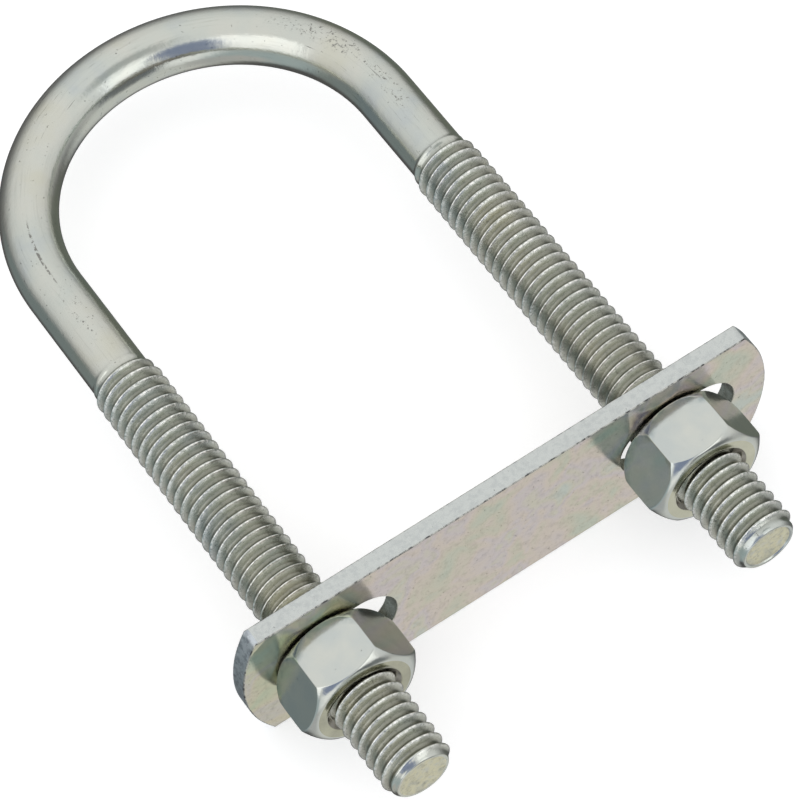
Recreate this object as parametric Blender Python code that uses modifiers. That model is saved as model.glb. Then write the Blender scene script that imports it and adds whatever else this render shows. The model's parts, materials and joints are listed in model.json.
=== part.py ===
"""Zinc-plated U-bolt clamp with a slotted strap plate and two hex nuts.

Four pieces: a round bar bent into a U with two threaded legs, a flat plate whose
slots drop over the legs, and a hex nut on each leg that pulls the plate towards
the bow.

Frame, in metres: the U lies flat in the XY plane. +X runs from the left leg to
the right leg, +Y from the plate to the bow, and +Z is up. The origin is on the
plate's clamping face, midway between the two leg axes.
"""

import math

import bmesh
import bpy
from mathutils import Matrix

MM = 0.001

# U-bolt: a 5/16-18 UNC bar, rolled threads on a thinner plain shank
LEG_SPACING = 43.1 * MM
SHANK_RADIUS = 3.34 * MM
BEND_CENTRE_Y = 51.9 * MM
LEFT_TIP_Y = -19.8 * MM
RIGHT_TIP_Y = -19.1 * MM
LEFT_RUNOUT_Y = 38.9 * MM
RIGHT_RUNOUT_Y = 42.0 * MM
RUNOUT_LENGTH = 2.2 * MM
TIP_RADIUS = 3.05 * MM

THREAD_PITCH = 25.4 * MM / 18
THREAD_CREST_RADIUS = 3.925 * MM
THREAD_ROOT_RADIUS = 3.1 * MM
LEFT_THREAD_PHASE = 139.5
RIGHT_THREAD_PHASE = 102.0

# Strap plate
PLATE_CENTRE_X = 1.1 * MM
PLATE_THICKNESS = 2.1 * MM
PLATE_WIDTH = 18.0 * MM
PLATE_CORNER_LENGTH = 60.24 * MM
PLATE_END_RISE = 2.45 * MM
PLATE_EDGE_BREAK = 0.15 * MM
SLOT_SPACING = 42.5 * MM
SLOT_LENGTH = 14.45 * MM
SLOT_WIDTH = 8.6 * MM

# Hex nuts
NUT_ACROSS_FLATS = 12.35 * MM
NUT_THICKNESS = 6.85 * MM
NUT_GAP = 0.3 * MM
NUT_CHAMFER_RADIUS = 5.65 * MM
NUT_CHAMFER_ANGLE = 40.0
NUT_THREAD_MINOR_RADIUS = 3.36 * MM
NUT_THREAD_MAJOR_RADIUS = 4.12 * MM
NUT_MOUTH_RADIUS = 4.4 * MM
LEFT_NUT_TURN = -7.8
RIGHT_NUT_TURN = -4.8

# Mesh resolution and working margins
THREAD_STEPS = 24
TURNED_STEPS = 36
BEND_SEGMENTS = 32
ARC_POINTS = 12
MARGIN = 1.0 * MM
WELD_DISTANCE = 0.001 * MM
SMOOTH_ANGLE = 35.0

LEG_X = LEG_SPACING / 2
NUT_NEAR_Y = -PLATE_THICKNESS - NUT_GAP
NUT_CENTRE_Y = NUT_NEAR_Y - NUT_THICKNESS / 2
NUT_CORNER_RADIUS = NUT_ACROSS_FLATS / 2 / math.cos(math.pi / 6)

ZINC_COLOUR = (0.62, 0.62, 0.58, 1.0)
PLATE_COLOUR = (0.66, 0.64, 0.60, 1.0)
NUT_COLOUR = (0.58, 0.58, 0.53, 1.0)


def clear_scene():
    for obj in list(bpy.data.objects):
        bpy.data.objects.remove(obj, do_unlink=True)


def new_collection(name):
    collection = bpy.data.collections.new(name)
    bpy.context.scene.collection.children.link(collection)
    return collection


def zinc(name, colour, roughness):
    material = bpy.data.materials.new(name)
    material.use_nodes = True
    shader = material.node_tree.nodes["Principled BSDF"]
    shader.inputs["Base Color"].default_value = colour
    shader.inputs["Metallic"].default_value = 1.0
    shader.inputs["Roughness"].default_value = roughness
    return material


def add_object(name, data, collection, location=(0, 0, 0), turn=0.0):
    """Object whose local Z lies along world +Y; turn, in degrees, spins it about that axis."""
    obj = bpy.data.objects.new(name, data)
    obj.rotation_euler = (-math.pi / 2, math.radians(turn), 0)
    obj.location = location
    collection.objects.link(obj)
    return obj


def as_helper(obj):
    obj.hide_render = True
    obj.display_type = "WIRE"
    return obj


def mesh_from(obj):
    """Evaluated mesh of obj with its doubled points welded; obj itself is removed."""
    bpy.context.view_layer.update()
    graph = bpy.context.evaluated_depsgraph_get()
    mesh = bpy.data.meshes.new_from_object(obj.evaluated_get(graph))
    bpy.data.objects.remove(obj, do_unlink=True)
    bm = bmesh.new()
    bm.from_mesh(mesh)
    bmesh.ops.remove_doubles(bm, verts=bm.verts, dist=WELD_DISTANCE)
    bm.to_mesh(mesh)
    bm.free()
    return mesh


def profile_mesh(name, points):
    """Open chain of edges in the local XZ plane from (radius, height) pairs."""
    mesh = bpy.data.meshes.new(name)
    vertices = [(radius, 0, height) for radius, height in points]
    edges = [(i, i + 1) for i in range(len(points) - 1)]
    mesh.from_pydata(vertices, edges, [])
    return mesh


def add_screw(obj, steps, pitch=0.0, turns=1):
    screw = obj.modifiers.new("Screw", "SCREW")
    screw.axis = "Z"
    screw.angle = 2 * math.pi
    screw.screw_offset = pitch
    screw.iterations = turns
    screw.steps = steps
    screw.render_steps = steps
    screw.use_merge_vertices = pitch == 0
    screw.merge_threshold = WELD_DISTANCE


def add_boolean(obj, operation, other):
    boolean = obj.modifiers.new(operation.title() + "." + other.name, "BOOLEAN")
    boolean.operation = operation
    boolean.solver = "EXACT"
    boolean.object = other


def turned(name, points, collection, location):
    """Turned helper solid along world +Y from (radius, height) pairs, top to bottom."""
    obj = add_object(name, profile_mesh(name, points), collection, location)
    add_screw(obj, TURNED_STEPS)
    return as_helper(obj)


def cap_ends(mesh):
    """Close both helical ends of a swept thread with a fan of faces."""
    bm = bmesh.new()
    bm.from_mesh(mesh)
    rims = [edge for edge in bm.edges if edge.is_boundary]
    caps = bmesh.ops.holes_fill(bm, edges=rims)["faces"]
    bmesh.ops.poke(bm, faces=caps)
    bmesh.ops.recalc_face_normals(bm, faces=bm.faces)
    bm.to_mesh(mesh)
    bm.free()


def threaded_rod(name, root, crest, low, high, phase, collection, leg_x):
    """Right-hand V thread on a leg's axis, whole at least from low to high along world Y.

    The crest passes world +Z, above the axis, at phase / 360 of a pitch past Y = 0.
    """
    half = THREAD_PITCH / 2
    crest_at_side = THREAD_PITCH * (phase + 90) / 360
    whole_pitches = math.floor((low - half - crest_at_side) / THREAD_PITCH)
    start = crest_at_side + whole_pitches * THREAD_PITCH
    turns = math.ceil((high + half - start) / THREAD_PITCH)
    profile = [(root, start + half), (crest, start), (root, start - half)]
    sweep = add_object(name, profile_mesh(name, profile), collection)
    add_screw(sweep, THREAD_STEPS, THREAD_PITCH, turns)
    mesh = mesh_from(sweep)
    cap_ends(mesh)
    return as_helper(add_object(name, mesh, collection, (leg_x, 0, 0)))


def leg_radius(thread_radius, above_tip, below_runout):
    """Radius of a leg: chamfered near the tip, and fading from thread to plain shank."""
    if below_runout <= 0:
        return SHANK_RADIUS
    share = min(1.0, below_runout / RUNOUT_LENGTH)
    radius = SHANK_RADIUS + (thread_radius - SHANK_RADIUS) * share
    return min(radius, TIP_RADIUS + above_tip)


def add_leg(bm, leg_x, tip_y, runout_y, phase):
    """Threaded leg as a grid whose rows follow the helix, two rows to a pitch.

    Rows past either end of the leg collapse onto its end ring.
    """
    first_turn = math.floor(tip_y / THREAD_PITCH) - 2
    turns = math.ceil((runout_y - tip_y) / THREAD_PITCH) + 5
    rows = []
    for k in range(2 * turns + 1):
        thread_radius = THREAD_CREST_RADIUS if k % 2 == 0 else THREAD_ROOT_RADIUS
        row = []
        for j in range(THREAD_STEPS):
            angle = 2 * math.pi * j / THREAD_STEPS
            y = THREAD_PITCH * (first_turn + k / 2 + j / THREAD_STEPS + phase / 360)
            y = min(max(y, tip_y), runout_y)
            radius = leg_radius(thread_radius, y - tip_y, runout_y - y)
            row.append(bm.verts.new((leg_x + radius * math.sin(angle), y, radius * math.cos(angle))))
        rows.append(row)
    last = len(rows) - 1
    for k in range(last):
        for j in range(THREAD_STEPS - 1):
            bm.faces.new((rows[k][j], rows[k][j + 1], rows[k + 1][j + 1], rows[k + 1][j]))
        seam_low = rows[min(k + 2, last)][0]
        seam_high = rows[min(k + 3, last)][0]
        if seam_low is not seam_high:
            bm.faces.new((rows[k][-1], seam_low, seam_high, rows[k + 1][-1]))


def bar_sections():
    """Centre and heading of each section of the plain bar, from the left leg round to the right."""
    sections = [(-LEG_X, LEFT_RUNOUT_Y, math.pi / 2)]
    for i in range(BEND_SEGMENTS + 1):
        turned_by = math.pi * i / BEND_SEGMENTS
        x = -LEG_X * math.cos(turned_by)
        y = BEND_CENTRE_Y + LEG_X * math.sin(turned_by)
        sections.append((x, y, math.pi / 2 - turned_by))
    sections.append((LEG_X, RIGHT_RUNOUT_Y, -math.pi / 2))
    return sections


def add_bar(bm):
    rings = []
    for x, y, heading in bar_sections():
        ring = []
        for j in range(THREAD_STEPS):
            angle = 2 * math.pi * j / THREAD_STEPS
            outwards = SHANK_RADIUS * math.sin(angle)
            place = (
                x + outwards * math.sin(heading),
                y - outwards * math.cos(heading),
                SHANK_RADIUS * math.cos(angle),
            )
            ring.append(bm.verts.new(place))
        rings.append(ring)
    for near, far in zip(rings, rings[1:]):
        for j in range(THREAD_STEPS):
            bm.faces.new((near[j - 1], near[j], far[j], far[j - 1]))


def u_bolt(parts):
    bm = bmesh.new()
    add_leg(bm, -LEG_X, LEFT_TIP_Y, LEFT_RUNOUT_Y, LEFT_THREAD_PHASE)
    add_bar(bm)
    add_leg(bm, LEG_X, RIGHT_TIP_Y, RIGHT_RUNOUT_Y, RIGHT_THREAD_PHASE)
    bmesh.ops.remove_doubles(bm, verts=bm.verts, dist=WELD_DISTANCE)
    bmesh.ops.holes_fill(bm, edges=[edge for edge in bm.edges if edge.is_boundary])
    bmesh.ops.recalc_face_normals(bm, faces=bm.faces)
    mesh = bpy.data.meshes.new("u_bolt")
    bm.to_mesh(mesh)
    bm.free()
    obj = bpy.data.objects.new("u_bolt", mesh)
    parts.objects.link(obj)
    mesh.materials.append(zinc("bolt_zinc", ZINC_COLOUR, 0.3))
    return obj


def arc(centre, radius, start, end):
    """Points along an arc; start and end are angles in degrees."""
    points = []
    for i in range(ARC_POINTS + 1):
        angle = math.radians(start + (end - start) * i / ARC_POINTS)
        points.append((centre + radius * math.cos(angle), radius * math.sin(angle)))
    return points


def plate_outline():
    """Long straight edges, and ends that are shallow arcs with sharp corners."""
    half_width = PLATE_WIDTH / 2
    radius = (half_width**2 + PLATE_END_RISE**2) / (2 * PLATE_END_RISE)
    spread = math.degrees(math.asin(half_width / radius))
    centre = PLATE_CORNER_LENGTH / 2 + PLATE_END_RISE - radius
    right = arc(centre, radius, -spread, spread)
    left = arc(-centre, radius, 180 - spread, 180 + spread)
    return right + left


def slot_outline(centre):
    radius = SLOT_WIDTH / 2
    reach = SLOT_LENGTH / 2 - radius
    return arc(centre + reach, radius, -90, 90) + arc(centre - reach, radius, 90, 270)


def strap_plate(parts):
    curve = bpy.data.curves.new("strap_plate", "CURVE")
    curve.dimensions = "2D"
    curve.fill_mode = "BOTH"
    curve.extrude = PLATE_THICKNESS / 2
    outlines = [plate_outline(), slot_outline(-SLOT_SPACING / 2), slot_outline(SLOT_SPACING / 2)]
    for outline in outlines:
        spline = curve.splines.new("POLY")
        spline.use_cyclic_u = True
        spline.points.add(len(outline) - 1)
        for point, (x, y) in zip(spline.points, outline):
            point.co = (x, y, 0, 1)
    curve.materials.append(zinc("plate_zinc", PLATE_COLOUR, 0.4))
    obj = add_object("strap_plate", curve, parts, (PLATE_CENTRE_X, -PLATE_THICKNESS / 2, 0))
    weld = obj.modifiers.new("Weld", "WELD")
    weld.merge_threshold = WELD_DISTANCE
    bevel = obj.modifiers.new("Edge break", "BEVEL")
    bevel.width = PLATE_EDGE_BREAK
    bevel.segments = 1
    bevel.limit_method = "ANGLE"
    bevel.angle_limit = math.radians(SMOOTH_ANGLE)
    return obj


def hexagon(name):
    """Hex prism along local Z, with a flat facing local -Y, which becomes world +Z."""
    bm = bmesh.new()
    bmesh.ops.create_cone(
        bm,
        cap_ends=True,
        segments=6,
        radius1=NUT_CORNER_RADIUS,
        radius2=NUT_CORNER_RADIUS,
        depth=NUT_THICKNESS,
        matrix=Matrix.Rotation(math.pi / 6, 4, "Z"),
    )
    mesh = bpy.data.meshes.new(name)
    bm.to_mesh(mesh)
    bm.free()
    return mesh


def nut_blank_envelope():
    """Turned outline of the nut: chamfers that trim the corners at both faces."""
    top = NUT_THICKNESS / 2 + MARGIN
    slope = math.tan(math.radians(NUT_CHAMFER_ANGLE))
    outside = NUT_CORNER_RADIUS + MARGIN / 2
    inside = NUT_CHAMFER_RADIUS - MARGIN / slope
    shoulder = NUT_THICKNESS / 2 - (outside - NUT_CHAMFER_RADIUS) * slope
    return [(0, top), (inside, top), (outside, shoulder), (outside, -shoulder), (inside, -top), (0, -top)]


def nut_mouths():
    """Turned cutter for the 45 degree countersinks at both ends of the bore."""
    top = NUT_THICKNESS / 2 + MARGIN
    wide = NUT_MOUTH_RADIUS + MARGIN
    narrow = THREAD_ROOT_RADIUS
    waist = NUT_THICKNESS / 2 - (NUT_MOUTH_RADIUS - narrow)
    return [(0, top), (wide, top), (narrow, waist), (narrow, -waist), (wide, -top), (0, -top)]


def hex_nut(side, leg_x, turn, phase, parts, helpers):
    name = "nut_" + side
    centre = (leg_x, NUT_CENTRE_Y, 0)
    obj = add_object(name, hexagon(name), parts, centre, turn)
    add_boolean(obj, "INTERSECT", turned(side + "_blank", nut_blank_envelope(), helpers, centre))
    thread = threaded_rod(
        side + "_tap",
        NUT_THREAD_MINOR_RADIUS,
        NUT_THREAD_MAJOR_RADIUS,
        NUT_CENTRE_Y - NUT_THICKNESS / 2 - MARGIN,
        NUT_CENTRE_Y + NUT_THICKNESS / 2 + MARGIN,
        phase,
        helpers,
        leg_x,
    )
    add_boolean(obj, "DIFFERENCE", thread)
    add_boolean(obj, "DIFFERENCE", turned(side + "_mouths", nut_mouths(), helpers, centre))
    obj.data.materials.append(zinc(name + "_zinc", NUT_COLOUR, 0.3))
    return obj


def shade(obj):
    if obj.type == "MESH":
        obj.data.shade_smooth()
        obj.data.set_sharp_from_angle(angle=math.radians(SMOOTH_ANGLE))


def main():
    clear_scene()
    parts = new_collection("u_bolt_clamp")
    helpers = new_collection("cutters")
    shade(u_bolt(parts))
    shade(strap_plate(parts))
    shade(hex_nut("left", -LEG_X, LEFT_NUT_TURN, LEFT_THREAD_PHASE, parts, helpers))
    shade(hex_nut("right", LEG_X, RIGHT_NUT_TURN, RIGHT_THREAD_PHASE, parts, helpers))


main()
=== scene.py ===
"""Looks of a zinc-plated U-bolt clamp: U-bolt, strap plate and two hex nuts.

Each CAD piece is replaced by a fine mesh in the same place: rolled threads with a run-out
and a tip blunted by wear, chamfered nuts and a sheared plate. Lengths are in millimetres
and become metres by MM. The U lies flat: +X runs from the left leg to the right leg,
+Y from the nuts to the bow, and +Z is up.
"""

import json
import math

import bmesh
import bpy
from mathutils import Matrix, Vector, noise


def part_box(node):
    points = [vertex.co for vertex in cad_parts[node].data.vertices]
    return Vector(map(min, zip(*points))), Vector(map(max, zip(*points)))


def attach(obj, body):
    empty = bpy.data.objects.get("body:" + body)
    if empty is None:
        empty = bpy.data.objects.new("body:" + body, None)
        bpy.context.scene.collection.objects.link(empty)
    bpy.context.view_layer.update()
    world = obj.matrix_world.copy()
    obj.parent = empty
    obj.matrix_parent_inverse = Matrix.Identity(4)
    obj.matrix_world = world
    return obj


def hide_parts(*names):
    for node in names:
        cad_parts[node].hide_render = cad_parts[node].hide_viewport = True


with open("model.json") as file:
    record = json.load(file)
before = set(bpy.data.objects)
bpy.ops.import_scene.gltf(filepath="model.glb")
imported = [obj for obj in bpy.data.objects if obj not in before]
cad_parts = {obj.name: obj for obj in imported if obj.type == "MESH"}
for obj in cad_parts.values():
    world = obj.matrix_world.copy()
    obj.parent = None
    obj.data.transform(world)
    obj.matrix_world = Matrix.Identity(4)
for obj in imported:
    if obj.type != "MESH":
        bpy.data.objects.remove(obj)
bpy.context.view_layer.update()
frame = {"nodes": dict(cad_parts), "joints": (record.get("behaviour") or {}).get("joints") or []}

MM = 0.001

# U-bolt
SHANK_RADIUS = 3.34
LEFT_RUNOUT_Y = 38.9
RIGHT_TIP_Y = -19.1
RIGHT_RUNOUT_Y = 42.0
RUNOUT_LENGTH = 2.4
PITCH = 25.4 / 18
CREST_RADIUS = 3.915
ROOT_RADIUS = 3.17
CREST_WEAR = 0.015
CREST_HALF_FLAT = 0.07
CREST_ROUNDING = 0.13
ROOT_ROUNDING = 0.2
FLANK_SLOPE = 1.732
LEFT_PHASE = 139.5
RIGHT_PHASE = 102.0
# Rows of vertices along one pitch, as fractions of it; close together at the crest
THREAD_ROWS = (
    (0.0, 0.035, 0.06, 0.1, 0.18, 0.26, 0.33, 0.39)
    + (0.5, 0.61, 0.67, 0.74, 0.82, 0.9, 0.94, 0.965)
)
TIP_RADIUS = 3.12
TIP_TAPER_LENGTH = 1.3
TIP_SLOPE = 0.62
TIP_RIM_SHARE = 0.86
TIP_ROUGHNESS = 0.045
BAR_UNEVENNESS = 0.012
# Rings across the end of each leg: share of the tip's radius, and depth from its rim
LEFT_TIP_PROFILE = (
    (1.0, 0.0),
    (0.975, -0.07),
    (0.94, -0.09),
    (0.90, -0.05),
    (0.82, 0.0),
    (0.6, 0.02),
    (0.4, 0.04),
    (0.2, 0.04),
)
RIGHT_TIP_PROFILE = (
    (1.0, 0.0),
    (0.98, -0.08),
    (0.93, -0.10),
    (0.90, -0.05),
    (0.87, 0.07),
    (0.83, 0.14),
    (0.5, 0.16),
    (0.2, 0.17),
)
LEG_STEPS = 56
BEND_STEPS = 96
STRAIGHT_STEPS = 6
BAR, CUT_END = range(2)

# Scuffs on top of the bar: distance from the left tip, half length, half width, and the noise
# level at which the dark starts; a low level makes a scratch and a high one scattered specks
SCUFFS = (
    (66.0, 5.0, 1.0, 0.58),
    (75.0, 5.5, 0.18, 0.46),
    (131.0, 8.5, 1.3, 0.56),
    (141.0, 5.0, 1.1, 0.58),
)

# Hex nuts; a chamfer's depth is a cubic in the distance past the face's radius
NUT_ACROSS_FLATS = 12.35
NUT_FACE_RADIUS = 5.6
NUT_REAR_REACH = 0.2
NUT_FRONT_CHAMFER = (0.19, 0.43, 0.0)
NUT_REAR_CHAMFER = (0.12, 0.25, 0.30)
NUT_EDGE_ROUNDING = 0.09
NUT_ROLL_OFF = 0.03
NUT_ROLL_LENGTH = 1.1
NUT_ROLL_ROWS = 5
NUT_CORNER_FILLET = 0.22
NUT_MOUTH_RADIUS = 4.45
NUT_MOUTH_EDGE = 0.05
NUT_MINOR_RADIUS = 3.36
NUT_MAJOR_RADIUS = 4.1
LEFT_NUT_TURN = -7.8
RIGHT_NUT_TURN = -4.8
FLAT_HALF_ANGLE = 28
FLAT_STEPS = 10
CORNER_STEPS = 6
NUT_SIDE, NUT_FACE, NUT_BORE = range(3)

# Strap plate
PLATE_END_RISE = 2.45
SLOT_SPACING = 42.5
SLOT_LENGTH = 14.45
SLOT_WIDTH = 8.6
PLATE_EDGE_RADIUS = 0.12
PLATE_WANDER = 0.02
OUTLINE_STEP = 0.45
WALL_STEP = 2
FACE, LONG_EDGE, SHEARED, SLOT_WALL, ARRIS = range(5)

# Name, light tone, dark tone, depth of bump and roughness of the finishes LONG_EDGE, SHEARED,
# SLOT_WALL and ARRIS, in that order
PLATE_EDGE_FINISHES = (
    ("zinc_plate_edge", (0.65, 0.68, 0.66), (0.58, 0.61, 0.60), 0.015, 0.22),
    ("zinc_plate_sheared", (0.66, 0.71, 0.75), (0.42, 0.46, 0.50), 0.12, 0.4),
    ("zinc_slot_wall", (0.62, 0.61, 0.55), (0.42, 0.41, 0.36), 0.04, 0.3),
    ("zinc_arris", (0.60, 0.60, 0.56), (0.10, 0.10, 0.10), 0.05, 0.4),
)

# Colours that materials mix with
BLACK = (0.0, 0.0, 0.0, 1.0)
# The next colour is a painted highlight laid on the thread crests
CREST_GLINT_COLOUR = (0.97, 0.97, 0.93, 1.0)
SCUFF_COLOUR = (0.26, 0.26, 0.24, 1.0)

# Camera, lights and floor
CAMERA_AIM = (0.943, 18.206, 0.0)
CAMERA_DISTANCE = 417.09
CAMERA_AZIMUTH = -25.37
CAMERA_ELEVATION = 58.14
CAMERA_ROLL = -9.67
CAMERA_LENS = 177.74
FLOOR_SIZE = 6000.0
DOME_AXIS = (0.0, -0.25, 1.0)
DOME_STOPS = (
    (0.04, 0.09),
    (0.18, 0.14),
    (0.30, 0.22),
    (0.36, 0.30),
    (0.46, 0.50),
    (0.54, 0.62),
    (0.59, 0.76),
    (0.85, 0.90),
)
# Direction, outer and inner half angles in degrees, colour; later zones lie over earlier
ZONES = (
    ((0.25, -0.55, -0.80), 48, 20, (0.70, 0.70, 0.68)),
    ((-0.33, -0.90, -0.27), 26, 12, (1.00, 1.00, 1.00)),
    ((-0.80, -0.35, -0.50), 42, 15, (0.42, 0.49, 0.51)),
    ((-0.45, -0.45, -0.77), 24, 10, (0.50, 0.50, 0.50)),
    ((-0.75, 0.48, -0.45), 32, 13, (0.215, 0.25, 0.255)),
    ((0.77, 0.48, -0.43), 36, 14, (0.155, 0.17, 0.145)),
    ((0.28, -0.93, -0.22), 26, 12, (0.18, 0.19, 0.20)),
    ((-0.37, -0.91, 0.17), 19, 11, (0.27, 0.31, 0.44)),
    ((-0.30, -0.82, 0.49), 22, 13, (0.27, 0.31, 0.44)),
    ((0.22, -0.50, 0.84), 22, 10, (0.50, 0.52, 0.52)),
)
# Name, azimuth, elevation, distance, size, brightness and colour of each soft box
SOFT_BOXES = (
    ("key", -66, 28, 500, (390, 540), 0.32, (0.98, 0.98, 1.0)),
    ("fill", 20, 26, 500, (220, 500), 0.17, (1.0, 1.0, 1.0)),
)


def clamp(value, low=0.0, high=1.0):
    return min(max(value, low), high)


def smooth_step(value):
    t = clamp(value)
    return t * t * (3 - 2 * t)


def smooth_min(a, b, width):
    """Smaller of two values, rounded off where they are within width of each other."""
    h = max(width - abs(a - b), 0.0) / width
    return min(a, b) - h * h * width / 4


def smooth_max(a, b, width):
    return -smooth_min(-a, -b, width)


def thread_radius(fraction, crest, root):
    """Radius of a 60 degree thread at a fraction of a pitch past its crest."""
    away = min(fraction, 1 - fraction) * PITCH
    flank = crest + (CREST_HALF_FLAT - away) * FLANK_SLOPE
    return smooth_max(root, smooth_min(crest, flank, CREST_ROUNDING), ROOT_ROUNDING)


class Surface:
    """Points, faces and per-point attributes gathered before they become a mesh."""

    def __init__(self):
        self.points = []
        self.faces = []
        self.kinds = []
        self.unbent = []
        self.relief = []
        self.threaded = []

    def point(self, place, unbent=(0.0, 0.0, 0.0), relief=0.5, threaded=0.0):
        self.points.append([c * MM for c in place])
        self.unbent.append(unbent)
        self.relief.append(relief)
        self.threaded.append(threaded)
        return len(self.points) - 1

    def face(self, corners, kind=0):
        self.faces.append(corners)
        self.kinds.append(kind)

    def ring_faces(self, near, far, kind=0):
        for j in range(len(near)):
            self.face((near[j - 1], near[j], far[j], far[j - 1]), kind)

    def fan(self, ring, place, kind=0, **attributes):
        centre = self.point(place, **attributes)
        for j in range(len(ring)):
            self.face((ring[j - 1], ring[j], centre), kind)

    def mesh(self, name):
        mesh = bpy.data.meshes.new(name)
        mesh.from_pydata(self.points, [], self.faces)
        mesh.polygons.foreach_set("material_index", self.kinds)
        unbent = mesh.attributes.new("unbent", "FLOAT_VECTOR", "POINT")
        unbent.data.foreach_set("vector", [c for u in self.unbent for c in u])
        for attribute, values in (("relief", self.relief), ("threaded", self.threaded)):
            layer = mesh.attributes.new(attribute, "FLOAT", "POINT")
            layer.data.foreach_set("value", values)
        bm = bmesh.new()
        bm.from_mesh(mesh)
        bmesh.ops.remove_doubles(bm, verts=bm.verts, dist=0.0005 * MM)
        bmesh.ops.dissolve_degenerate(bm, edges=bm.edges, dist=0.0001 * MM)
        bmesh.ops.recalc_face_normals(bm, faces=bm.faces)
        bm.to_mesh(mesh)
        bm.free()
        return mesh


def helix_rows(low, high, phase, angles):
    """Rows that follow a right-hand helix: lists of (angle, y, fraction), y held in low..high."""
    first = math.floor(low / PITCH) - 2
    turns = math.ceil((high - low) / PITCH) + 4
    count = len(THREAD_ROWS)
    rows = []
    for k in range(turns * count + 1):
        turn, part = divmod(k, count)
        row = []
        for angle in angles:
            fraction = THREAD_ROWS[part]
            y = PITCH * (first + turn + fraction + (angle + phase) / 360)
            row.append((angle, clamp(y, low, high), fraction))
        rows.append(row)
    return rows


def helix_faces(surface, rows, kind=0):
    """Faces between helical rows; the last column meets the first one a pitch further on."""
    last = len(rows) - 1
    pitch_rows = len(THREAD_ROWS)
    for k in range(last):
        near, far = rows[k], rows[k + 1]
        for j in range(len(near) - 1):
            surface.face((near[j], near[j + 1], far[j + 1], far[j]), kind)
        low = rows[min(k + pitch_rows, last)][0]
        high = rows[min(k + pitch_rows + 1, last)][0]
        if low != high:
            surface.face((near[-1], low, high, far[-1]), kind)


def leg_point(surface, leg, angle, y, radius, relief, threaded):
    a = math.radians(angle)
    along = leg["along"] + leg["side"] * (leg["tip"] - y)
    place = (leg["x"] + radius * math.sin(a), y, radius * math.cos(a))
    unbent = (along, -leg["side"] * radius * math.sin(a), radius * math.cos(a))
    return surface.point(place, unbent, relief, threaded)


def leg_radius(leg, angle, y, fraction):
    """Thread that fades into the shank at its run-out and into a blunt rim at the tip."""
    place = Vector((leg["x"] + angle * 0.05, y * 2.2, 0.0))
    wear = 0.014 * noise.noise(place) + 0.008 * noise.noise(place * 4.1)
    thread = thread_radius(fraction, CREST_RADIUS - CREST_WEAR, ROOT_RADIUS) + wear
    relief = (thread - ROOT_RADIUS) / (CREST_RADIUS - ROOT_RADIUS)
    fade = smooth_step((leg["runout"] - y) / RUNOUT_LENGTH)
    radius = SHANK_RADIUS + (thread - SHANK_RADIUS) * fade
    above_tip = y - leg["tip"]
    cone = TIP_RADIUS + above_tip * TIP_SLOPE
    radius = cone + (radius - cone) * smooth_step(above_tip / TIP_TAPER_LENGTH)
    threaded = fade * smooth_step(above_tip / TIP_TAPER_LENGTH)
    return radius, 0.5 + (relief - 0.5) * fade, threaded


def add_leg(surface, leg, angles):
    """Threaded leg from its tip to its run-out."""
    rows = []
    for row in helix_rows(leg["tip"], leg["runout"], leg["phase"], angles):
        indices = []
        for angle, y, fraction in row:
            radius, relief, threaded = leg_radius(leg, angle, y, fraction)
            indices.append(leg_point(surface, leg, angle, y, radius, relief, threaded))
        rows.append(indices)
    helix_faces(surface, rows)


def add_tip(surface, leg, angles):
    """End of a leg: a rounded rim round a face that is dished where the bar was cut."""
    previous = None
    for share, depth in leg["tip_profile"]:
        ring = []
        for angle in angles:
            rough = 0.0
            if 0.1 < share < 0.97:
                spot = Vector((angle * 0.05, share * 7, leg["x"]))
                rough = TIP_ROUGHNESS * noise.noise(spot)
            y = leg["tip"] + depth + rough
            ring.append(leg_point(surface, leg, angle, y, TIP_RADIUS * share, 0.5, 0.0))
        if previous:
            surface.ring_faces(previous, ring, CUT_END if share < TIP_RIM_SHARE else BAR)
        previous = ring
    a, b = surface.points[previous[0]], surface.points[previous[len(previous) // 2]]
    centre = [(p + q) / 2 / MM for p, q in zip(a, b)]
    surface.fan(previous, centre, CUT_END, unbent=(leg["along"], 0.0, 0.0))


def bow_sections(legs, spacing, bend_y):
    """Centre, heading and distance along the bar for each plain section, left to right."""
    left, right = legs
    sections = []
    for i in range(STRAIGHT_STEPS):
        y = left["runout"] + (bend_y - left["runout"]) * i / STRAIGHT_STEPS
        sections.append((left["x"], y, math.pi / 2, y - left["tip"]))
    start = bend_y - left["tip"]
    radius = spacing / 2
    for i in range(BEND_STEPS + 1):
        turned = math.pi * i / BEND_STEPS
        x = -radius * math.cos(turned)
        y = bend_y + radius * math.sin(turned)
        sections.append((x, y, math.pi / 2 - turned, start + radius * turned))
    end = start + math.pi * radius
    for i in range(1, STRAIGHT_STEPS + 1):
        drop = (bend_y - right["runout"]) * i / STRAIGHT_STEPS
        sections.append((right["x"], bend_y - drop, -math.pi / 2, end + drop))
    return sections


def add_bow(surface, sections, angles):
    """Plain bar, with the slight unevenness that drawing and bending leave."""
    previous = None
    last = len(sections) - 1
    for i, (x, y, heading, along) in enumerate(sections):
        ring = []
        for angle in angles:
            a = math.radians(angle)
            across, up = math.sin(a), math.cos(a)
            radius = SHANK_RADIUS
            if 0 < i < last:
                spot = Vector((along * 0.12, across * 1.5, up * 1.5))
                radius += BAR_UNEVENNESS * noise.noise(spot)
            place = (
                x + radius * across * math.sin(heading),
                y - radius * across * math.cos(heading),
                radius * up,
            )
            ring.append(surface.point(place, (along, radius * across, radius * up), 0.5))
        if previous:
            surface.ring_faces(previous, ring)
        previous = ring


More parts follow.
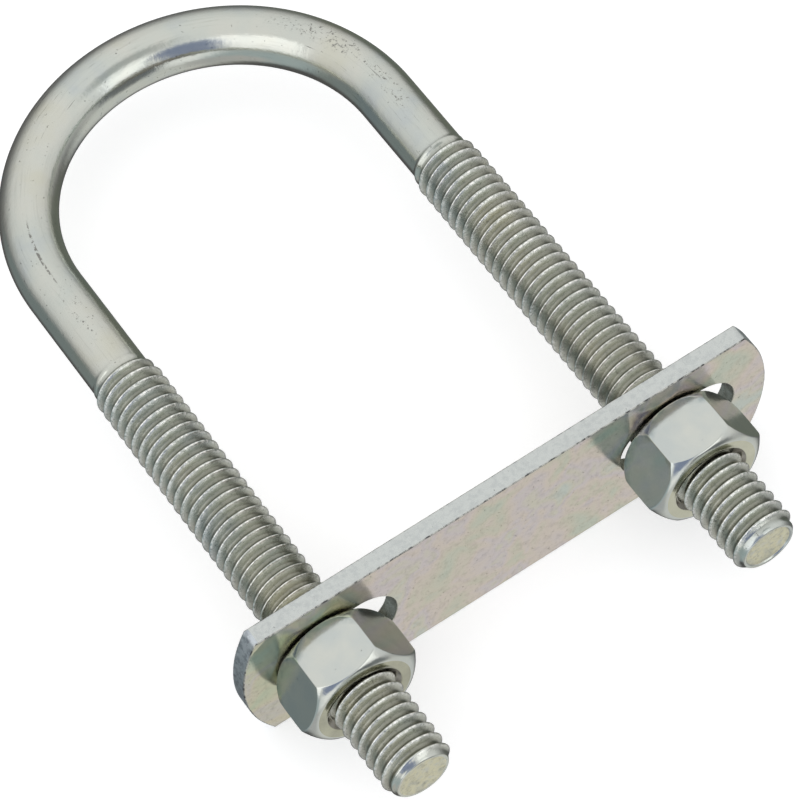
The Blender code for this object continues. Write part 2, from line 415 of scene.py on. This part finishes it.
def build_u_bolt(spacing, left_tip, bend_y):
    angles = [360 * j / LEG_STEPS for j in range(LEG_STEPS)]
    bar_length = bend_y * 2 - left_tip - RIGHT_TIP_Y + math.pi * spacing / 2
    left = {
        "x": -spacing / 2,
        "side": -1,
        "tip": left_tip,
        "runout": LEFT_RUNOUT_Y,
        "phase": LEFT_PHASE,
        "along": 0.0,
        "tip_profile": LEFT_TIP_PROFILE,
    }
    right = {
        "x": spacing / 2,
        "side": 1,
        "tip": RIGHT_TIP_Y,
        "runout": RIGHT_RUNOUT_Y,
        "phase": RIGHT_PHASE,
        "along": bar_length,
        "tip_profile": RIGHT_TIP_PROFILE,
    }
    surface = Surface()
    for leg in (left, right):
        add_leg(surface, leg, angles)
        add_tip(surface, leg, angles)
    add_bow(surface, bow_sections((left, right), spacing, bend_y), angles)
    return surface.mesh("u_bolt_fine")


def hex_angles():
    """Angles round a nut: even over each flat, close together at the corners."""
    angles = []
    for side in range(6):
        middle = 60 * side
        for i in range(FLAT_STEPS + 1):
            angles.append(middle + FLAT_HALF_ANGLE * (2 * i / FLAT_STEPS - 1))
        for i in range(1, CORNER_STEPS):
            corner = 60 - 2 * FLAT_HALF_ANGLE
            angles.append(middle + FLAT_HALF_ANGLE + corner * i / CORNER_STEPS)
    return angles


def hex_radius(angle):
    """Radius of a hexagon with filleted corners; angle 0 is the middle of a flat."""
    inner = NUT_ACROSS_FLATS / 2
    from_flat = abs((angle + 30) % 60 - 30)
    sharp = inner / math.cos(math.radians(from_flat))
    centre = (inner - NUT_CORNER_FILLET) / math.cos(math.radians(30))
    from_corner = math.radians(30 - from_flat)
    inside = NUT_CORNER_FILLET**2 - (centre * math.sin(from_corner)) ** 2
    if inside <= 0:
        return sharp
    return min(sharp, centre * math.cos(from_corner) + math.sqrt(inside))


def nut_profile(edge, half, chamfer):
    """(radius, height, kind) from the bore's mouth over the face and chamfer to mid side.

    The chamfer steepens with the radius, so it is shallow in the middle of a flat and
    rounds the corners off.
    """
    def height(radius):
        run = radius - NUT_FACE_RADIUS
        return half - run * (chamfer[0] + chamfer[1] * run + chamfer[2] * run**2)

    points = [
        (NUT_MOUTH_RADIUS, half - NUT_MOUTH_EDGE, NUT_FACE),
        (NUT_MOUTH_RADIUS + NUT_MOUTH_EDGE, half, NUT_FACE),
        (NUT_MOUTH_RADIUS + 0.5, half, NUT_FACE),
        (NUT_FACE_RADIUS - 0.05, half, NUT_FACE),
    ]
    rounding = NUT_EDGE_ROUNDING
    for share in (0.06, 0.3, 0.55, 0.8, 1.0):
        radius = NUT_FACE_RADIUS + (edge - rounding - NUT_FACE_RADIUS) * share
        points.append((radius, height(radius), NUT_SIDE))
    points.append((edge - rounding * 0.4, height(edge) - rounding * 0.1, NUT_SIDE))
    for row in range(NUT_ROLL_ROWS):
        share = 1 - row / (NUT_ROLL_ROWS - 1)
        below = rounding * 0.9 + (1 - share) * NUT_ROLL_LENGTH
        points.append((edge - NUT_ROLL_OFF * share**2, height(edge) - below, NUT_SIDE))
    return points


def build_nut(name, axis_x, low, high, turn, phase):
    """Nut between low and high along Y, turned about its leg; its thread is in phase with it."""
    high += NUT_REAR_REACH
    centre_y = (low + high) / 2
    half = (high - low) / 2
    angles = hex_angles()
    edges = [hex_radius(angle) for angle in angles]
    surface = Surface()

    def place(angle, radius, y):
        a = math.radians(angle)
        return (axis_x + radius * math.sin(a), y, radius * math.cos(a))

    for end, chamfer in ((-1, NUT_FRONT_CHAMFER), (1, NUT_REAR_CHAMFER)):
        profiles = [nut_profile(edge, half, chamfer) for edge in edges]
        previous = None
        for step in range(len(profiles[0])):
            ring = []
            from_brink = abs(step - (len(profiles[0]) - NUT_ROLL_ROWS))
            # At the rear, relief falls to 0 at the brink next to the plate, where the nut
            # material paints shade
            relief = min(0.125 * from_brink, 0.5) if end == 1 else 0.5
            for angle, profile in zip(angles, profiles):
                radius, height, kind = profile[step]
                spot = place(angle + turn, radius, centre_y + end * height)
                ring.append(surface.point(spot, relief=relief))
            if previous:
                surface.ring_faces(previous, ring, kind)
            previous = ring
        waist = [surface.point(place(a + turn, e, centre_y)) for a, e in zip(angles, edges)]
        surface.ring_faces(previous, waist)

    bore_low, bore_high = low + NUT_MOUTH_EDGE, high - NUT_MOUTH_EDGE
    rows = []
    bore_angles = [a + turn for a in angles]
    for row in helix_rows(bore_low, bore_high, phase, bore_angles):
        indices = []
        for angle, y, fraction in row:
            thread = thread_radius(fraction, NUT_MAJOR_RADIUS, NUT_MINOR_RADIUS)
            sink = NUT_MOUTH_RADIUS - min(y - bore_low, bore_high - y)
            indices.append(surface.point(place(angle, max(thread, sink), y)))
        rows.append(indices)
    helix_faces(surface, rows, NUT_BORE)
    return surface.mesh(name)


def arc_points(centre, radius, start, end):
    """Points (x, z) on an arc about (centre, 0), from start to end in degrees."""
    count = max(6, round(radius * abs(end - start) * math.pi / 180 / OUTLINE_STEP))
    points = []
    for i in range(count + 1):
        a = math.radians(start + (end - start) * i / count)
        points.append((centre + radius * math.cos(a), radius * math.sin(a)))
    return points


def dense(points):
    """Closed outline with its long straight stretches divided."""
    result = []
    for (x0, z0), (x1, z1) in zip(points, points[1:] + points[:1]):
        length = math.hypot(x1 - x0, z1 - z0)
        count = max(1, round(length / OUTLINE_STEP))
        for i in range(count):
            result.append((x0 + (x1 - x0) * i / count, z0 + (z1 - z0) * i / count))
    return result


def plate_outlines(low, high):
    """Outer outline of the plate, then its slots, as lists of (x, z)."""
    half_width = (high[2] - low[2]) / 2
    centre_x = (low[0] + high[0]) / 2
    half_length = (high[0] - low[0]) / 2
    radius = (half_width**2 + PLATE_END_RISE**2) / (2 * PLATE_END_RISE)
    spread = math.degrees(math.asin(half_width / radius))
    outer = arc_points(half_length - radius, radius, -spread, spread)
    outer += arc_points(radius - half_length, radius, 180 - spread, 180 + spread)
    outlines = [dense(outer)]
    slot_radius = SLOT_WIDTH / 2
    reach = SLOT_LENGTH / 2 - slot_radius
    for middle in (-SLOT_SPACING / 2, SLOT_SPACING / 2):
        slot = arc_points(middle + reach, slot_radius, -90, 90)
        slot += arc_points(middle - reach, slot_radius, 90, 270)
        outlines.append(dense(slot))
    return [[(x + centre_x, z) for x, z in outline] for outline in outlines]


def outward_normals(outline, sign):
    """Normals of an outline's points; sign is 1 for the outer outline and -1 for a slot."""
    normals = []
    for i in range(len(outline)):
        x0, z0 = outline[i - 1]
        x1, z1 = outline[(i + 1) % len(outline)]
        length = math.hypot(x1 - x0, z1 - z0)
        normals.append((sign * (z1 - z0) / length, -sign * (x1 - x0) / length))
    return normals


def edge_profile(low_y, high_y):
    """(inset, y) across the plate's thickness, with both arrises rounded off."""
    edge = PLATE_EDGE_RADIUS
    return (
        (edge, low_y),
        (edge * 0.3, low_y + edge * 0.3),
        (0.0, low_y + edge),
        (0.0, high_y - edge),
        (edge * 0.3, high_y - edge * 0.3),
        (edge, high_y),
    )


def wall_kind(is_slot, step, normal):
    """Finish of a face on the plate's edge or in a slot."""
    if is_slot:
        return SLOT_WALL
    if step != WALL_STEP:
        return ARRIS
    return SHEARED if abs(normal[0]) > 0.5 else LONG_EDGE


def wall_ring(bm, outline, normals, step, inset, y):
    """One ring of vertices round an outline, set in a little unevenly."""
    ring = []
    for (x, z), (nx, nz) in zip(outline, normals):
        wander = PLATE_WANDER * noise.noise(Vector((x * 0.9, step * 0.7, z * 0.9)))
        depth = inset * (1 + 0.5 * noise.noise(Vector((x, step + 9.0, z)))) + abs(wander)
        ring.append(bm.verts.new(((x - nx * depth) * MM, y * MM, (z - nz * depth) * MM)))
    return ring


def build_plate(low, high):
    """Strip with rounded sheared edges that wander by a few hundredths of a millimetre."""
    bm = bmesh.new()
    near_rim, far_rim = [], []
    for number, outline in enumerate(plate_outlines(low, high)):
        is_slot = number > 0
        normals = outward_normals(outline, -1 if is_slot else 1)
        rings = []
        for step, (inset, y) in enumerate(edge_profile(low[1], high[1])):
            rings.append(wall_ring(bm, outline, normals, step, inset, y))
        for step, (near, far) in enumerate(zip(rings, rings[1:])):
            for j in range(len(near)):
                face = bm.faces.new((near[j - 1], near[j], far[j], far[j - 1]))
                face.material_index = wall_kind(is_slot, step, normals[j])
        for rim, ring in ((near_rim, rings[0]), (far_rim, rings[-1])):
            for j in range(len(ring)):
                rim.append(bm.edges.get((ring[j - 1], ring[j])))
    for rim in (near_rim, far_rim):
        filled = bmesh.ops.triangle_fill(bm, use_beauty=True, use_dissolve=False, edges=rim)
        for item in filled["geom"]:
            if isinstance(item, bmesh.types.BMFace):
                item.material_index = FACE
    bmesh.ops.recalc_face_normals(bm, faces=bm.faces)
    mesh = bpy.data.meshes.new("strap_plate_fine")
    bm.to_mesh(mesh)
    bm.free()
    return mesh


class Nodes:
    """Shorthand for building one material's node tree."""

    def __init__(self, name):
        self.material = bpy.data.materials.new(name)
        self.material.use_nodes = True
        self.tree = self.material.node_tree
        self.shader = self.tree.nodes["Principled BSDF"]
        self.shader.inputs["Metallic"].default_value = 1.0

    def add(self, kind, inputs=None, **settings):
        node = self.tree.nodes.new(kind)
        for key, value in settings.items():
            setattr(node, key, value)
        for key, value in (inputs or {}).items():
            self.feed(node, key, value)
        return node

    def feed(self, node, key, value):
        if isinstance(value, bpy.types.NodeSocket):
            self.tree.links.new(value, node.inputs[key])
        else:
            node.inputs[key].default_value = value

    def coordinates(self, scale=(1.0, 1.0, 1.0), attribute=None):
        """Object coordinates in millimetres, or a mesh attribute, stretched by scale."""
        if attribute:
            source = self.add("ShaderNodeAttribute", attribute_name=attribute).outputs["Vector"]
            factor = scale
        else:
            source = self.add("ShaderNodeTexCoord").outputs["Object"]
            factor = tuple(c / MM for c in scale)
        mapping = self.add("ShaderNodeMapping", {"Vector": source, "Scale": factor})
        return mapping.outputs["Vector"]

    def attribute(self, name):
        return self.add("ShaderNodeAttribute", attribute_name=name).outputs["Fac"]

    def noise(self, vector, scale, detail=3.0, roughness=0.5, distortion=0.0):
        node = self.add(
            "ShaderNodeTexNoise",
            {
                "Vector": vector,
                "Scale": scale,
                "Detail": detail,
                "Roughness": roughness,
                "Distortion": distortion,
            },
        )
        return node.outputs["Fac"]

    def ramp(self, factor, stops):
        """Colour ramp; stops are (position, colour), and a colour may be one grey level."""
        node = self.add("ShaderNodeValToRGB", {"Fac": factor})
        elements = node.color_ramp.elements
        while len(elements) < len(stops):
            elements.new(0.5)
        for element, (position, colour) in zip(elements, stops):
            element.position = position
            if not isinstance(colour, tuple):
                colour = (colour, colour, colour)
            element.color = (*colour, 1.0)
        return node.outputs["Color"]

    def mix(self, factor, a, b, blend="MIX"):
        node = self.add("ShaderNodeMix", data_type="RGBA", blend_type=blend)
        self.feed(node, 0, factor)
        self.feed(node, 6, a)
        self.feed(node, 7, b)
        return node.outputs[2]

    def bump(self, height, strength, distance, normal=None):
        inputs = {"Height": height, "Strength": strength, "Distance": distance * MM}
        node = self.add("ShaderNodeBump", inputs)
        if normal:
            self.tree.links.new(normal, node.inputs["Normal"])
        return node.outputs["Normal"]


def scuff(n, bar, along, half_length, half_width, level):
    """1 on the dark parts of a scuffed patch of the bar, 0 elsewhere."""
    place = n.add(
        "ShaderNodeMapping",
        {
            "Vector": bar,
            "Location": (along, 0.0, SHANK_RADIUS),
            "Scale": (half_length, half_width, 1.0),
        },
        vector_type="TEXTURE",
    )
    patch = n.add(
        "ShaderNodeTexGradient",
        {"Vector": place.outputs["Vector"]},
        gradient_type="SPHERICAL",
    )
    inside = n.ramp(patch.outputs["Fac"], [(0.0, 0.0), (0.35, 1.0)])
    broken = n.ramp(n.noise(bar, 1.9, 5.0, 0.75), [(level, 0.0), (level + 0.05, 1.0)])
    return n.mix(inside, BLACK, broken)


def bolt_material():
    """Bright zinc on drawn bar; the rolled threads are grainier, a little warmer, and carry
    painted shade in their roots and painted highlights on their crests.
    """
    n = Nodes("zinc_bolt")
    bar = n.coordinates(attribute="unbent")
    streak = n.coordinates((0.07, 1.6, 1.6), attribute="unbent")
    relief = n.attribute("relief")
    threaded = n.attribute("threaded")
    cloud = n.ramp(
        n.noise(bar, 0.14, 3.0),
        [
            (0.30, (0.57, 0.61, 0.60)),
            (0.42, (0.63, 0.66, 0.61)),
            (0.58, (0.67, 0.68, 0.62)),
            (0.72, (0.66, 0.66, 0.57)),
        ],
    )
    lines = n.ramp(n.noise(streak, 2.6, 5.0, 0.65), [(0.30, 0.82), (0.45, 1.0)])
    colour = n.mix(0.5, cloud, lines, "MULTIPLY")
    marked = n.ramp(n.noise(bar, 0.09, 1.0), [(0.52, 0.0), (0.62, 1.0)])
    scratches = n.ramp(n.noise(streak, 1.9, 4.0, 0.7), [(0.29, 0.15), (0.36, 1.0)])
    colour = n.mix(marked, colour, n.mix(0.9, colour, scratches, "MULTIPLY"))
    specks = n.ramp(n.noise(bar, 2.6, 2.0), [(0.25, 0.3), (0.31, 1.0)])
    colour = n.mix(0.6, colour, specks, "MULTIPLY")
    for values in SCUFFS:
        colour = n.mix(scuff(n, bar, *values), colour, SCUFF_COLOUR)
    # Painted shade: the threads darken towards their roots with relief, under random soot specks
    tint = n.ramp(
        relief,
        [(0.0, (0.40, 0.39, 0.34)), (0.35, (0.82, 0.81, 0.77)), (0.8, (1.0, 1.0, 1.0))],
    )
    soot = n.ramp(n.noise(bar, 3.2, 5.0, 0.75), [(0.33, 0.25), (0.44, 1.0)])
    thread_soot_and_painted_light = n.mix(0.7, n.mix(0.9, colour, tint, "MULTIPLY"), soot, "MULTIPLY")
    # Painted highlight: near-white patches on the thread crests, broken up by noise
    crest_glint = n.mix(
        n.ramp(n.noise(bar, 2.1, 4.0, 0.7), [(0.46, 0.0), (0.56, 1.0)]),
        BLACK,
        n.ramp(relief, [(0.55, 0.0), (0.9, 1.0)]),
    )
    thread_soot_and_painted_light = n.mix(crest_glint, thread_soot_and_painted_light, CREST_GLINT_COLOUR)
    n.feed(n.shader, "Base Color", n.mix(threaded, colour, thread_soot_and_painted_light))
    satin = n.ramp(n.noise(streak, 1.1, 4.0), [(0.3, 0.12), (0.7, 0.22)])
    glossy = n.ramp(n.noise(bar, 1.1, 4.0), [(0.3, 0.05), (0.7, 0.14)])
    n.feed(n.shader, "Roughness", n.mix(threaded, satin, glossy))
    fine = n.bump(n.noise(streak, 6.0, 4.0), 0.3, 0.012)
    coarse = n.bump(n.noise(bar, 1.1, 3.0, 0.55), 0.35, 0.07, fine)
    grain = n.mix(threaded, n.noise(bar, 5.0, 3.0), n.noise(bar, 3.2, 5.0, 0.75))
    strength = n.ramp(threaded, [(0.0, 0.06), (1.0, 0.55)])
    n.feed(n.shader, "Normal", n.bump(grain, strength, 0.08, coarse))
    return n.material


def cut_end_material():
    n = Nodes("zinc_cut_end")
    place = n.coordinates()
    tint = n.ramp(
        n.noise(place, 0.7, 4.0),
        [(0.35, (0.66, 0.66, 0.55)), (0.52, (0.80, 0.77, 0.57)), (0.7, (0.70, 0.71, 0.64))],
    )
    pits = n.ramp(n.noise(place, 1.8, 6.0, 0.75), [(0.32, 0.4), (0.50, 1.0)])
    n.feed(n.shader, "Base Color", n.mix(0.6, tint, pits, "MULTIPLY"))
    n.feed(n.shader, "Roughness", n.ramp(n.noise(place, 2.0), [(0.3, 0.3), (0.7, 0.5)]))
    n.feed(n.shader, "Normal", n.bump(n.noise(place, 2.8, 6.0, 0.65), 0.6, 0.08))
    return n.material


def plate_face_material():
    """Passivated zinc: faint pink, green and straw films over a fine grain."""
    n = Nodes("zinc_plate_face")
    place = n.coordinates()
    film = n.ramp(
        n.noise(place, 0.19, 2.0, 0.5, 0.5),
        [
            (0.30, (0.62, 0.66, 0.56)),
            (0.40, (0.69, 0.66, 0.55)),
            (0.48, (0.74, 0.66, 0.59)),
            (0.56, (0.70, 0.64, 0.65)),
            (0.64, (0.70, 0.67, 0.57)),
            (0.72, (0.63, 0.68, 0.63)),
        ],
    )
    leftward = n.add("ShaderNodeSeparateXYZ", {"Vector": n.coordinates((-0.03, 1.0, 1.0))})
    straw = n.ramp(leftward.outputs["X"], [(0.45, (1.0, 1.0, 1.0)), (0.85, (0.90, 0.94, 0.84))])
    film = n.mix(1.0, film, straw, "MULTIPLY")
    grain = n.ramp(n.noise(place, 1.6, 5.0, 0.7), [(0.32, 0.72), (0.52, 1.0)])
    colour = n.mix(0.6, film, grain, "MULTIPLY")
    pits = n.ramp(n.noise(place, 3.0, 2.0), [(0.26, 0.3), (0.31, 1.0)])
    n.feed(n.shader, "Base Color", n.mix(0.7, colour, pits, "MULTIPLY"))
    n.feed(n.shader, "Roughness", n.ramp(n.noise(place, 1.2, 4.0), [(0.3, 0.12), (0.7, 0.22)]))
    wave = n.bump(n.noise(place, 0.5, 3.0), 0.25, 0.06)
    n.feed(n.shader, "Normal", n.bump(n.noise(place, 4.0, 5.0, 0.65), 0.25, 0.02, wave))
    return n.material


def plate_edge_material(name, light, dark, bump, rough):
    """Long edges, sheared ends, slot walls and arrises; light and dark end its tones."""
    n = Nodes(name)
    place = n.coordinates()
    tone = n.ramp(n.noise(place, 1.7, 6.0, 0.7), [(0.40, dark), (0.54, light)])
    pits = n.ramp(n.noise(place, 2.4, 3.0), [(0.24, 0.3), (0.29, 1.0)])
    n.feed(n.shader, "Base Color", n.mix(0.7, tone, pits, "MULTIPLY"))
    spread = [(0.3, rough - 0.08), (0.7, rough + 0.08)]
    n.feed(n.shader, "Roughness", n.ramp(n.noise(place, 2.0, 3.0), spread))
    n.feed(n.shader, "Normal", n.bump(n.noise(place, 2.6, 6.0, 0.7), 0.6, bump))
    return n.material


def nut_material(name, light, dark):
    """Zinc on a nut; its relief attribute falls to 0 at the rear edge next to the plate, where
    the colour is darkened as painted shade.
    """
    n = Nodes(name)
    place = n.coordinates()
    cloud = n.ramp(n.noise(place, 0.3, 3.0), [(0.35, dark), (0.65, light)])
    specks = n.ramp(n.noise(place, 2.2, 2.0), [(0.22, 0.4), (0.26, 1.0)])
    colour = n.mix(0.6, cloud, specks, "MULTIPLY")
    # Painted shade: darker and bluer in patches towards the rear edge next to the plate
    edge = n.ramp(n.attribute("relief"), [(0.0, (0.55, 0.62, 0.66)), (0.5, (1.0, 1.0, 1.0))])
    patchy = n.ramp(n.noise(place, 0.9, 4.0, 0.6), [(0.35, 0.2), (0.6, 1.0)])
    n.feed(n.shader, "Base Color", n.mix(patchy, colour, n.mix(1.0, colour, edge, "MULTIPLY")))
    n.feed(n.shader, "Roughness", n.ramp(n.noise(place, 0.9, 4.0), [(0.3, 0.12), (0.7, 0.22)]))
    wave = n.bump(n.noise(place, 0.6, 3.0), 0.2, 0.06)
    n.feed(n.shader, "Normal", n.bump(n.noise(place, 3.5, 5.0, 0.6), 0.25, 0.02, wave))
    return n.material


def show(mesh, name, body, node, materials):
    """Put a mesh in the scene in place of a CAD node, riding on that node's body."""
    obj = bpy.data.objects.new(name, mesh)
    bpy.context.scene.collection.objects.link(obj)
    for material in materials:
        mesh.materials.append(material)
    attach(obj, body)
    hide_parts(node)
    return obj


def weigh_normals(obj):
    modifier = obj.modifiers.new("Weighted normals", "WEIGHTED_NORMAL")
    modifier.keep_sharp = True


def in_millimetres(node):
    low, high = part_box(node)
    return [c / MM for c in low], [c / MM for c in high]


def show_bolt(spacing):
    low, high = in_millimetres("u_bolt")
    bend_y = high[1] - spacing / 2 - SHANK_RADIUS
    mesh = build_u_bolt(spacing, low[1], bend_y)
    mesh.shade_smooth()
    materials = [bolt_material(), cut_end_material()]
    show(mesh, "u_bolt_plated", "bolt", "u_bolt", materials)


def show_plate():
    mesh = build_plate(*in_millimetres("strap_plate"))
    mesh.shade_smooth()
    materials = [plate_face_material()]
    for name, light, dark, bump, rough in PLATE_EDGE_FINISHES:
        materials.append(plate_edge_material(name, light, dark, bump, rough))
    obj = show(mesh, "strap_plate_plated", "plate", "strap_plate", materials)
    weigh_normals(obj)


def show_nuts(axes):
    side = nut_material("zinc_nut", (0.67, 0.69, 0.64), (0.60, 0.64, 0.62))
    faces = {
        "left": nut_material("zinc_left_nut_face", (0.56, 0.56, 0.43), (0.42, 0.42, 0.33)),
        "right": nut_material("zinc_right_nut_face", (0.66, 0.66, 0.53), (0.58, 0.58, 0.46)),
    }
    bore = nut_material("zinc_nut_bore", (0.50, 0.48, 0.42), (0.36, 0.34, 0.30))
    nuts = (("left", LEFT_NUT_TURN, LEFT_PHASE), ("right", RIGHT_NUT_TURN, RIGHT_PHASE))
    for name, turn, phase in nuts:
        node = "nut_" + name
        body = name + "_nut"
        low, high = in_millimetres(node)
        mesh = build_nut(node + "_fine", axes[body], low[1], high[1], turn, phase)
        mesh.shade_smooth()
        materials = [side, faces[name], bore]
        obj = show(mesh, node + "_plated", body, node, materials)
        weigh_normals(obj)


def show_pieces():
    hinges = [joint for joint in frame["joints"] if joint["type"] == "hinge"]
    axes = {joint["child"]: joint["pos_m"][0] / MM for joint in hinges}
    show_bolt(axes["right_nut"] - axes["left_nut"])
    show_plate()
    show_nuts(axes)


def add_floor(height):
    """Pale floor that stays out of the reflections in the object."""
    mesh = bpy.data.meshes.new("floor")
    h = FLOOR_SIZE / 2
    corners = [(-h, -h), (h, -h), (h, h), (-h, h)]
    mesh.from_pydata([(x * MM, y * MM, 0) for x, y in corners], [], [(0, 1, 2, 3)])
    material = bpy.data.materials.new("floor")
    material.use_nodes = True
    shader = material.node_tree.nodes["Principled BSDF"]
    shader.inputs["Base Color"].default_value = (0.8, 0.8, 0.8, 1.0)
    shader.inputs["Roughness"].default_value = 0.9
    shader.inputs["Emission Color"].default_value = (1.0, 1.0, 1.0, 1.0)
    shader.inputs["Emission Strength"].default_value = 0.5
    mesh.materials.append(material)
    floor = bpy.data.objects.new("floor", mesh)
    floor.location.z = height
    floor.visible_glossy = False
    floor.visible_shadow = False
    bpy.context.scene.collection.objects.link(floor)


def add_world():
    """Studio surroundings: a pale dome that darkens below, with a few broad soft zones."""
    world = bpy.data.worlds.new("studio")
    world.use_nodes = True
    tree = world.node_tree
    direction = tree.nodes.new("ShaderNodeTexCoord").outputs["Generated"]

    def towards(axis, low, high):
        """0 to 1 as the direction's share along axis goes from low to high."""
        dot = tree.nodes.new("ShaderNodeVectorMath")
        dot.operation = "DOT_PRODUCT"
        tree.links.new(direction, dot.inputs[0])
        dot.inputs[1].default_value = Vector(axis).normalized()
        reach = tree.nodes.new("ShaderNodeMapRange")
        reach.interpolation_type = "SMOOTHSTEP" if low > -1 else "LINEAR"
        reach.inputs["From Min"].default_value = low
        reach.inputs["From Max"].default_value = high
        tree.links.new(dot.outputs["Value"], reach.inputs["Value"])
        return reach.outputs["Result"]

    ramp = tree.nodes.new("ShaderNodeValToRGB")
    tree.links.new(towards(DOME_AXIS, -1.0, 1.0), ramp.inputs["Fac"])
    elements = ramp.color_ramp.elements
    while len(elements) < len(DOME_STOPS):
        elements.new(0.5)
    for element, (position, level) in zip(elements, DOME_STOPS):
        element.position = position
        element.color = (level, level, level, 1.0)
    light = ramp.outputs["Color"]
    for axis, outer, inner, colour in ZONES:
        blend = tree.nodes.new("ShaderNodeMix")
        blend.data_type = "RGBA"
        tree.links.new(
            towards(axis, math.cos(math.radians(outer)), math.cos(math.radians(inner))),
            blend.inputs[0],
        )
        tree.links.new(light, blend.inputs[6])
        blend.inputs[7].default_value = (*colour, 1.0)
        light = blend.outputs[2]
    tree.links.new(light, tree.nodes["Background"].inputs["Color"])
    bpy.context.scene.world = world


def bearing(azimuth, elevation):
    """Unit vector from the object outwards; azimuth 0 is in front, at -Y."""
    a, e = math.radians(azimuth), math.radians(elevation)
    return Vector((math.sin(a) * math.cos(e), -math.cos(a) * math.cos(e), math.sin(e)))


def add_light(name, azimuth, elevation, distance, size, power, colour):
    """Area light aimed at the middle of the object."""
    direction = bearing(azimuth, elevation)
    data = bpy.data.lights.new(name, "AREA")
    data.shape = "RECTANGLE"
    data.size = size[0] * MM
    data.size_y = size[1] * MM
    data.energy = power
    data.color = colour
    light = bpy.data.objects.new(name, data)
    aim = Vector(CAMERA_AIM) * MM
    light.location = aim + direction * distance * MM
    light.rotation_euler = direction.to_track_quat("Z", "Y").to_euler()
    light.visible_camera = False
    bpy.context.scene.collection.objects.link(light)


def add_camera():
    back = bearing(CAMERA_AZIMUTH, CAMERA_ELEVATION)
    data = bpy.data.cameras.new("camera")
    data.lens = CAMERA_LENS
    data.clip_start = 0.01
    camera = bpy.data.objects.new("camera", data)
    level = back.to_track_quat("Z", "Y").to_matrix().to_4x4()
    place = (Vector(CAMERA_AIM) + back * CAMERA_DISTANCE) * MM
    roll = Matrix.Rotation(math.radians(CAMERA_ROLL), 4, "Z")
    camera.matrix_world = Matrix.Translation(place) @ level @ roll
    bpy.context.scene.collection.objects.link(camera)
    bpy.context.scene.camera = camera


add_camera()
show_pieces()
add_floor(min(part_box(node)[0].z for node in frame["nodes"]))
add_world()
for box in SOFT_BOXES:
    add_light(*box)
bpy.context.scene.view_settings.view_transform = "Standard"
